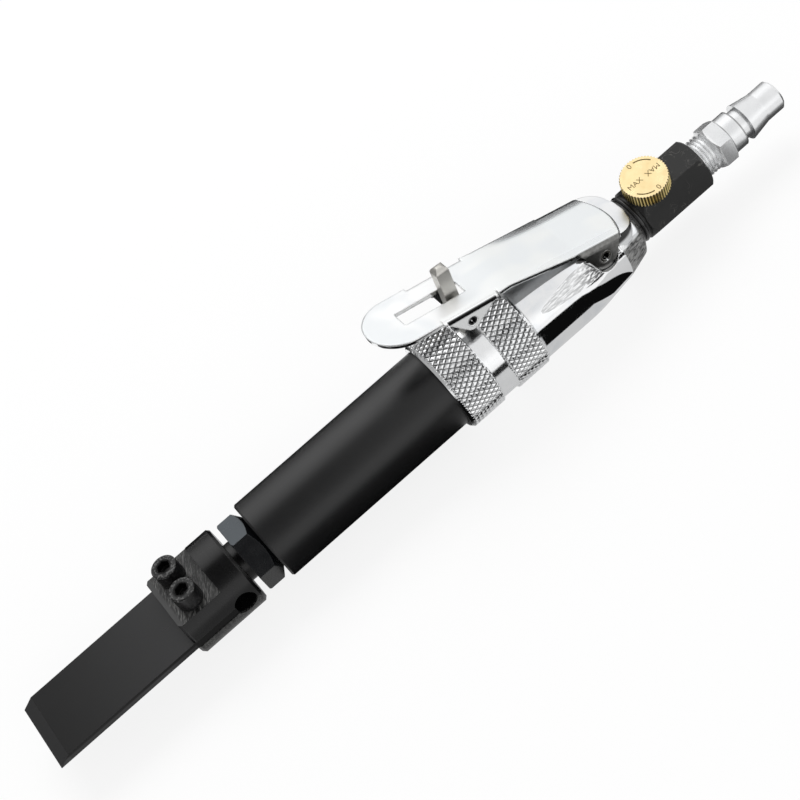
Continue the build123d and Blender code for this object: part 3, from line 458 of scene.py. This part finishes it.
def knurled_chrome():
    """Bright plate with dirt and painted shade between the diamonds, dulled by the hand underneath and at
    the back.
    """
    made = new_finish("knurled_chrome")
    x = made.axis("x")
    dust = made.noise(2.2 * mm, 3.0)
    groove_half = (groove_end - groove_start) / 2 + groove_slope
    band_half = collar_half - collar_bevel
    band = made.ramp(abs(x - (groove_start + groove_end) / 2), groove_half, groove_half + 0.2 * mm)
    band = band * made.ramp(abs(x - collar_x), band_half, band_half - 0.2 * mm)
    # Dirt and painted shade in the grooves between the diamonds
    dirt_and_shade = made.ramp(made.from_axis(), collar_r - 0.23 * mm, collar_r - 0.42 * mm) * band
    tone = made.blend(dust, (0.97, 0.975, 0.98), (0.86, 0.87, 0.88))
    tone = made.blend(dirt_and_shade * 0.88, tone, (0.02, 0.02, 0.02))
    handled = made.ramp(made.axis("z"), axis_z - 4.5 * mm, axis_z - 7.0 * mm)
    handled = handled + 0.4 * made.ramp(made.axis("y"), 3.0 * mm, 8.0 * mm)
    return made.surface(
        Base_Color=tone,
        Metallic=1.0,
        Roughness=0.1 + 0.08 * dust + 0.2 * dirt_and_shade + 0.3 * handled,
    )


def turned_nickel():
    """Bright turned plate with painted shade in the corners between its steps, paler and duller on the
    thread.
    """
    made = new_finish("turned_nickel")
    x = made.axis("x")
    rings = made.noise(0.16 * mm, 2.0, (1.0, 80.0, 80.0))
    cloud = made.noise(4 * mm, 3.0)
    thread = made.ramp(x, plug_hex_x + 0.9 * mm, plug_hex_x + 0.6 * mm)
    tone = made.blend(cloud, (0.87, 0.875, 0.88), (0.72, 0.73, 0.74))
    tone = made.blend(thread * 0.7, tone, (0.95, 0.955, 0.96))
    # Painted shade in the corners between the steps
    for corner in plug_corners:
        tone = made.blend(made.ramp(abs(x - corner), 0.4 * mm, 0.15 * mm) * 0.75, tone, (0.2, 0.2, 0.2))
    return made.surface(
        Base_Color=tone,
        Metallic=1.0 - 0.22 * thread,
        Roughness=0.21 + 0.1 * cloud,
        Normal=made.bump(rings, 0.004 * mm, made.rounded(0.25 * mm)),
    )


def bright_brass():
    """Turned brass with fine rings on the face, and dirt and painted shade in the flutes of the rim."""
    made = new_finish("bright_brass")
    cloud = made.noise(3.5 * mm, 3.0)
    grain = made.noise(0.15 * mm, 2.0)
    worn = made.edges(0.2 * mm)
    out = made.vector("SUBTRACT", made.place(), knob_face)
    rise = made.vector("DOT_PRODUCT", out, knob_up, "Value")
    reach = made.vector("LENGTH", out, output="Value")
    from_stem = (reach ** 2 - rise ** 2) ** 0.5
    ring_pitch = 0.2 * mm
    rings = made.math("SINE", from_stem * (2 * pi / ring_pitch))
    below_face = made.ramp(rise, -0.1 * mm, -0.3 * mm)
    rim = made.ramp(rise, -0.4 * mm, -0.7 * mm)
    flutes = made.ramp(from_stem, knob_r - 0.09 * mm, knob_r - 0.35 * mm) * below_face
    tone = made.blend(cloud, (0.87, 0.715, 0.43), (0.68, 0.52, 0.26))
    tone = made.blend(rim, tone, (0.92, 0.73, 0.29))
    tone = made.blend(worn * 0.4, tone, (0.95, 0.84, 0.58))
    # Dirt and painted shade in the flutes
    tone = made.blend(flutes * 0.9, tone, (0.045, 0.034, 0.004))
    return made.surface(
        Base_Color=tone,
        Metallic=1.0,
        Roughness=0.22 + 0.14 * cloud,
        Normal=made.bump(grain + 0.5 * rings, 0.004 * mm),
    )


def engraved_brass():
    """Dark stained brass of the dial marks."""
    made = new_finish("engraved_brass")
    mottle = made.noise(0.4 * mm, 3.0)
    tone = made.blend(mottle, (0.08, 0.055, 0.015), (0.17, 0.125, 0.04))
    return made.surface(Base_Color=tone, Metallic=0.4, Roughness=0.45 + 0.2 * mottle)


def drawn_metal(name, pale, dark, roughness, stretch):
    """Bare metal with fine lines along the stretched axis."""
    made = new_finish(name)
    lines = made.noise(0.2 * mm, 3.0, stretch)
    cloud = made.noise(5 * mm, 2.0)
    return made.surface(
        Base_Color=made.blend(cloud, pale, dark),
        Metallic=1.0,
        Roughness=roughness + 0.1 * lines,
        Normal=made.bump(lines, 0.006 * mm, made.rounded(0.2 * mm)),
    )


def dull_pin():
    """Spring pin with a bright rim and a dark end, whose dark tone is painted shade for its hollow."""
    made = new_finish("dull_pin")
    mottle = made.noise(0.8 * mm, 3.0)
    rim = made.edges(0.22 * mm)
    # Painted shade: the dark tone stands for the shade in the pin's hollow
    tone = made.blend(mottle, (0.05, 0.047, 0.042), (0.11, 0.105, 0.095))
    tone = made.blend(rim, tone, (0.72, 0.71, 0.68))
    return made.surface(
        Base_Color=tone,
        Metallic=1.0,
        Roughness=0.28 + 0.12 * mottle,
        Normal=made.bump(mottle, 0.01 * mm, made.rounded(0.2 * mm)),
    )


def black_rubber(name, roughness):
    """Rubber with a fine moulded grain."""
    made = new_finish(name)
    grain = made.noise(0.3 * mm, 3.0)
    tone = made.blend(grain, (0.007, 0.007, 0.007), (0.013, 0.013, 0.013))
    return made.surface(
        Base_Color=tone,
        Roughness=roughness + 0.12 * grain,
        Specular_IOR_Level=0.6,
        Normal=made.bump(grain, 0.01 * mm),
    )


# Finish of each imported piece; inner pieces are rubber, bronze or steel by what they are
along_x = (40.0, 1.0, 1.0)
round_x = (1.0, 40.0, 40.0)
along_z = (1.0, 1.0, 30.0)
no_lines = (1.0, 1.0, 1.0)
steel = drawn_metal("drawn_steel", (0.58, 0.59, 0.6), (0.48, 0.49, 0.5), 0.3, along_x)
bronze = drawn_metal("turned_bronze", (0.66, 0.5, 0.28), (0.55, 0.4, 0.2), 0.32, round_x)
zinc = drawn_metal("zinc_catch", (0.66, 0.645, 0.61), (0.52, 0.505, 0.47), 0.34, along_z)
blued_steel = drawn_metal("blued_spring", (0.05, 0.05, 0.052), (0.025, 0.025, 0.027), 0.3, no_lines)
rubber = black_rubber("black_rubber", 0.3)
screw_black = black_screws()
barrel_black = satin_black_barrel()
rubber_words = ("seal", "gasket", "buffer")
bronze_nodes = ("front_bush", "valve_seat")
node_finish = {
    "blade": black_oxide_blade(),
    "blade_holder": machined_black_holder(),
    "clamp_screws": screw_black,
    "spring_washers": screw_black,
    "front_nut": black_nut(),
    "barrel": barrel_black,
    "throttle_housing": housing_chrome(),
    "throttle_lever": lever_chrome(),
    "lever_pin": dull_pin(),
    "safety_catch": zinc,
    # The safety pin takes the barrel's black as painted shade, so the ear's hole looks dark
    "safety_pin": barrel_black,
    "safety_spring": blued_steel,
    "regulator_body": scuffed_black_regulator(),
    "neck_seal": black_rubber("oiled_rubber", 0.1),
    "regulator_knob": bright_brass(),
    "quick_plug": turned_nickel(),
}
for name, piece in nodes.items():
    finish = node_finish.get(name)
    if finish is None and any(word in name for word in rubber_words):
        finish = rubber
    if finish is None:
        finish = bronze if name in bronze_nodes else steel
    piece.data.materials.clear()
    piece.data.materials.append(finish)


def add_piece(name, mesh, finish, body):
    """Show a mesh, in the tool's own frame in metres, as a piece that rides on a body."""
    mesh.materials.clear()
    mesh.materials.append(finish)
    piece = bpy.data.objects.new(name, mesh)
    bpy.context.scene.collection.objects.link(piece)
    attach(piece, body)
    return piece


def mesh_of(name, points, faces):
    """A mesh from its points and the faces between them."""
    mesh = bpy.data.meshes.new(name)
    mesh.from_pydata(points, [], faces)
    return mesh


# Knurled collar: a turned sleeve whose two bands carry crossed grooves
barrel_bore = 14.02 * mm
spigot_bore = 13.02 * mm
bore_step = collar_low.x + 11.5 * mm
diamonds = 52
diamond_half = 1.42 * mm
diamond_cuts = 3
diamond_depth = 0.43 * mm
diamond_flat = 0.4
least_step = 0.02 * mm
sharp_angle = radians(35)


def collar_outline(x):
    """Radius of the plain turned sleeve."""
    from_end = min(x - collar_low.x, collar_high.x - x)
    radius = collar_r - max(0.0, collar_bevel - from_end)
    into_groove = min(x - (groove_start - groove_slope), groove_end + groove_slope - x)
    if into_groove > 0.0:
        radius = min(radius, max(groove_r, collar_r - into_groove * (collar_r - groove_r) / groove_slope))
    return radius


def diamond_place(x, turn):
    """Where a point lies in its diamond, in halves of its length and its width from its middle."""
    along = (x - collar_low.x) / diamond_half
    around = turn * diamonds / pi
    row = round(along)
    column = round(around)
    if (row + column) % 2:
        if abs(along - row) > abs(around - column):
            row += 1 if along > row else -1
        else:
            column += 1 if around > column else -1
    return along - row, around - column


def knurl_radius(x, turn):
    """Radius of the sleeve with its diamonds, which don't reach into the groove."""
    along, around = diamond_place(x, turn)
    height = min(1.0, (1.0 - abs(along) - abs(around)) / (1.0 - diamond_flat))
    return min(collar_outline(x), collar_r - diamond_depth * (1.0 - max(height, 0.0)))


def sleeve_stations():
    """Places along the sleeve of its rings of points: its corners and even cuts of the diamonds."""
    cuts = int((collar_high.x - collar_low.x) / diamond_half * diamond_cuts)
    stations = [collar_low.x, collar_low.x + collar_bevel, collar_high.x - collar_bevel, collar_high.x]
    stations += [collar_low.x + k * diamond_half / diamond_cuts for k in range(1, cuts + 1)]
    stations += [groove_start - groove_slope, groove_start, groove_end, groove_end + groove_slope]
    stations = sorted(x for x in stations if not groove_start < x < groove_end)
    kept = [x for x, after in zip(stations, stations[1:]) if after - x > least_step]
    return kept + [collar_high.x]


def knurled_sleeve():
    """Rings of points along the outside and back through the bore, joined to a closed skin."""
    steps = 2 * diamonds * diamond_cuts
    turns = [2 * pi * k / steps for k in range(steps)]
    stations = sleeve_stations()
    rings = [[(x, knurl_radius(x, turn), turn) for turn in turns] for x in stations]
    spigot_part = [(collar_high.x, spigot_bore), (bore_step, spigot_bore)]
    barrel_part = [(bore_step, barrel_bore), (collar_low.x, barrel_bore)]
    rings += [[(x, radius, turn) for turn in turns] for x, radius in spigot_part + barrel_part]
    points = [(x, r * sin(turn), axis_z + r * cos(turn)) for ring in rings for x, r, turn in ring]
    faces = []
    for i in range(len(rings)):
        j = (i + 1) % len(rings)
        for k in range(steps):
            after = (k + 1) % steps
            a, b, c, d = i * steps + k, i * steps + after, j * steps + after, j * steps + k
            if i >= len(stations) - 1:
                faces.append((a, b, c, d))
                continue
            along, around = diamond_place((stations[i] + stations[j]) / 2, 2 * pi * (k + 0.5) / steps)
            if along * around > 0:
                faces += [(a, b, d), (b, c, d)]
            else:
                faces += [(a, b, c), (a, c, d)]
    return mesh_of("knurled_sleeve", points, faces)


collar = add_piece("knurled_sleeve", knurled_sleeve(), knurled_chrome(), "body")
collar.data.shade_smooth()
collar.data.set_sharp_from_angle(angle=sharp_angle)
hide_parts("knurled_collar")


def pressed_spring(node):
    """A steel copy of a spring's coils, shown on the body in place of the imported spring."""
    coils = add_piece(f"{node}_coils", nodes[node].data.copy(), steel, "body")
    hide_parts(node)
    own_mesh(coils)


pressed_spring("return_spring")
pressed_spring("valve_spring")

# Marks on the regulator's knob: two scales from 0 to MAX
mark_depth = 0.02 * mm
letter_height = 2.5 * mm
max_r = 3.5 * mm
zero_r = 6.0 * mm
zero_angle = radians(96)
arc_r = 6.25 * mm
arc_width = 0.42 * mm
arc_start = radians(28)
arc_end = radians(80)
arc_steps = 24
dial_ink = engraved_brass()


def on_dial(radius, angle, turn):
    """Placement on the knob's face at a radius and an angle from +X, turned about the face's normal."""
    spot = knob_face + Vector((radius * cos(angle), 0.0, 0.0)) + knob_side * radius * sin(angle)
    face = Matrix((Vector((1.0, 0.0, 0.0)), knob_side, knob_up)).transposed()
    return Matrix.Translation(spot) @ (face @ Matrix.Rotation(turn, 3, "Z")).to_4x4()


def dial_word(name, word, radius, angle, turn):
    """Raised letters, turned from a text into a mesh."""
    text = bpy.data.curves.new(name, "FONT")
    text.body = word
    text.size = letter_height
    text.align_x = "CENTER"
    text.align_y = "CENTER"
    text.extrude = mark_depth
    letters = bpy.data.objects.new(name, text)
    mesh = bpy.data.meshes.new_from_object(letters)
    bpy.data.objects.remove(letters)
    mesh.transform(on_dial(radius, angle, turn))
    add_piece(name, mesh, dial_ink, "knob")


def dial_arc(name, start, end):
    """A flat raised band along an arc, closed on all sides."""
    points = []
    faces = []
    for level in (-mark_depth, mark_depth):
        for radius in (arc_r - arc_width / 2, arc_r + arc_width / 2):
            for k in range(arc_steps + 1):
                spot = on_dial(radius, start + (end - start) * k / arc_steps, 0.0).translation
                points.append(spot + knob_up * level)
    row = arc_steps + 1
    for k in range(arc_steps):
        low_in, low_out, top_in, top_out = [r * row + k for r in range(4)]
        faces.append((top_in, top_out, top_out + 1, top_in + 1))
        faces.append((low_in, low_in + 1, low_out + 1, low_out))
        faces.append((low_in, top_in, top_in + 1, low_in + 1))
        faces.append((low_out, low_out + 1, top_out + 1, top_out))
    faces.append((0, row, 3 * row, 2 * row))
    faces.append((arc_steps, 2 * row + arc_steps, 3 * row + arc_steps, row + arc_steps))
    add_piece(name, mesh_of(name, points, faces), dial_ink, "knob")


for side, name in ((0.0, "rear"), (pi, "front")):
    zero = side + zero_angle
    dial_word(f"dial_max_{name}", "MAX", max_r, side, side + pi)
    dial_word(f"dial_zero_{name}", "0", zero_r, zero, zero - pi / 2)
    dial_arc(f"dial_arc_{name}", side + arc_start, side + arc_end)


# Stage: a pale floor, and cards over it that only mirror rays see
matt_level = 0.86
plain_share = 0.84


def stage_plane(name, corners, height, finish):
    """A level sheet of the stage."""
    points = [(x, y, height) for x, y in corners]
    mesh = mesh_of(name, points, [tuple(range(len(points)))])
    mesh.materials.append(finish)
    plane = bpy.data.objects.new(name, mesh)
    bpy.context.scene.collection.objects.link(plane)
    return plane


def oblong(x_low, y_low, x_high, y_high):
    """Corners of a rectangle."""
    return [(x_low, y_low), (x_high, y_low), (x_high, y_high), (x_low, y_high)]


def ray_kinds(made):
    """For each ray, 1 or 0: from the camera, off a mirror, through glass."""
    kinds = ("Is Camera Ray", "Is Glossy Ray", "Is Transmission Ray")
    return [made.node("ShaderNodeLightPath", output=kind) for kind in kinds]


def stage_finish(name, grey):
    """Matt sheet that shows its own tone to the camera and to mirrors, with part of the shadows on it."""
    made = new_finish(name)
    from_camera, off_mirror, through_glass = ray_kinds(made)
    share = plain_share * (from_camera + off_mirror + through_glass)
    matt_grey = matt_level * grey
    matt = made.node("ShaderNodeBsdfDiffuse", None, {"Color": (matt_grey, matt_grey, matt_grey, 1.0)})
    plain = made.node("ShaderNodeEmission", None, {"Color": (grey, grey, grey, 1.0), "Strength": 1.0})
    both = made.node("ShaderNodeMixShader", None, {0: share, 1: matt, 2: plain})
    made.node("ShaderNodeOutputMaterial", None, {"Surface": both})
    return made.owner


floor_half = 3.0
floor_corners = oblong(-floor_half, -floor_half, floor_half, floor_half)
stage_plane("floor", floor_corners, 0.0, stage_finish("pale_floor", 1.0))
black_card = stage_finish("black_card", 0.004)
deep_card = stage_finish("deep_card", 0.08)
dim_card = stage_finish("dim_card", 0.24)
grey_card = stage_finish("grey_card", 0.42)
pale_card = stage_finish("pale_card", 0.64)
card_height = 0.4 * mm
low_card_height = 0.2 * mm
flag_height = 300 * mm
front_outline = [(8, -150), (62, -150), (76, -112), (78, -75), (81, -55), (81, -10), (72, -13)]
front_outline += [(65, -25), (43, -25), (45, -42), (48, -52), (48, -56), (8, -56)]
plug_outline = [(112, -68), (138, -68), (138, -22), (200, -22), (200, -13), (112, -13)]
back_outline = [(-160, 44), (10, 44), (10, 110), (36, 110), (36, 44), (200, 44), (200, 400), (-160, 400)]
# The cards are painted shade and painted dark reflection: the grey ones stand for the floor in shade
# under the tool, the black ones and the flag for dark surroundings
cards = {
    "card_under_holder": (grey_card, card_height, oblong(-106, -130, -64, 12)),
    "card_under_barrel": (black_card, card_height, oblong(-64, -110, 8, 12)),
    "card_front": (black_card, card_height, front_outline),
    "card_under_regulator": (black_card, card_height, oblong(104, -170, 136, -72)),
    "card_under_plug": (dim_card, card_height, plug_outline),
    "card_by_plug": (deep_card, card_height, oblong(112, -13, 200, 10)),
    "card_under_grip": (pale_card, low_card_height, oblong(8, -60, 110, 40)),
    "card_back": (black_card, card_height, back_outline),
    "flag_over_barrel": (black_card, flag_height, oblong(-130, -620, 10, 0)),
}
for name, (finish, height, outline) in cards.items():
    card = stage_plane(name, [(x * mm, y * mm) for x, y in outline], height, finish)
    card.visible_camera = False
    card.visible_diffuse = False
    card.visible_shadow = False

# World: white to the camera, soft light on the object, and a studio's glows and shade in mirrors
sky_level = 0.5
world = bpy.data.worlds.new("studio")
bpy.context.scene.world = world
sky = Finish(world)
way = sky.node("ShaderNodeTexCoord", output="Generated")
way_x = sky.part(way, "x")
way_y = sky.part(way, "y")
way_z = sky.part(way, "z")
tilt = sky.math("ARCTAN2", way_y, way_z)
back_glow = sky.ramp(abs(tilt - radians(32)), radians(42), radians(6))
back_glow = back_glow * sky.ramp(abs(way_x - 0.1), 0.24, 0.05)
front_glow = sky.ramp(abs(tilt + radians(80)), radians(32), radians(5))
far_shade = sky.ramp(tilt, radians(64), radians(92))
side_lift = sky.ramp(way_x, 0.12, 0.34)
tip_fall = sky.ramp(way_x, -0.22, 0.02, 0.5, 1.0)
glow = 0.8 + 1.6 * back_glow + 0.25 * front_glow + 0.2 * side_lift
mirror = glow * tip_fall * (1.0 - 0.92 * far_shade)
camera_ray, glossy_ray, through_ray = ray_kinds(sky)
soft = sky_level * (1.0 - camera_ray) * (1.0 - glossy_ray) * (1.0 - through_ray)
level = soft + camera_ray + through_ray + glossy_ray * mirror
backdrop = sky.node("ShaderNodeBackground", None, {"Color": (1.0, 1.0, 1.0, 1.0), "Strength": level})
sky.node("ShaderNodeOutputWorld", None, {"Surface": backdrop})

# Two large soft lamps
lamp_aim = Vector((0.0, 0.0, 0.02))
lamp_size = (0.9, 0.6)


def soft_lamp(name, place, watts):
    """A large lamp that lights the object but isn't seen in it."""
    light = bpy.data.lights.new(name, "AREA")
    light.shape = "RECTANGLE"
    light.size, light.size_y = lamp_size
    light.energy = watts
    lamp = bpy.data.objects.new(name, light)
    lamp.location = place
    lamp.rotation_euler = (lamp_aim - Vector(place)).to_track_quat("-Z", "Y").to_euler()
    lamp.visible_camera = False
    lamp.visible_glossy = False
    bpy.context.scene.collection.objects.link(lamp)


soft_lamp("key_lamp", place=(0.15, 0.55, 0.85), watts=7.0)
soft_lamp("fill_lamp", place=(-0.1, -0.9, 0.5), watts=4.0)

# Camera at the photograph's viewing angle
photo_pixels = 800
photo_focus_pixels = 1889.7
sensor = 36.0
camera_place = Vector((-59.022, -388.349, 441.059)) * mm
forward = Vector((0.09796, 0.67778, -0.72871)).normalized()
camera_roll = radians(35.16)
level_right = forward.cross(Vector((0.0, 0.0, 1.0))).normalized()
level_up = level_right.cross(forward)
right = level_right * cos(camera_roll) - level_up * sin(camera_roll)
above = level_right * sin(camera_roll) + level_up * cos(camera_roll)
camera_data = bpy.data.cameras.new("camera")
camera_data.sensor_width = sensor
camera_data.lens = photo_focus_pixels / photo_pixels * sensor
camera_data.clip_start = 0.01
camera_data.clip_end = 50.0
camera = bpy.data.objects.new("camera", camera_data)
facing = Matrix((right, above, -forward)).transposed().to_4x4()
camera.matrix_world = Matrix.Translation(camera_place) @ facing
bpy.context.scene.collection.objects.link(camera)
bpy.context.scene.camera = camera
bpy.context.scene.view_settings.view_transform = "Standard"
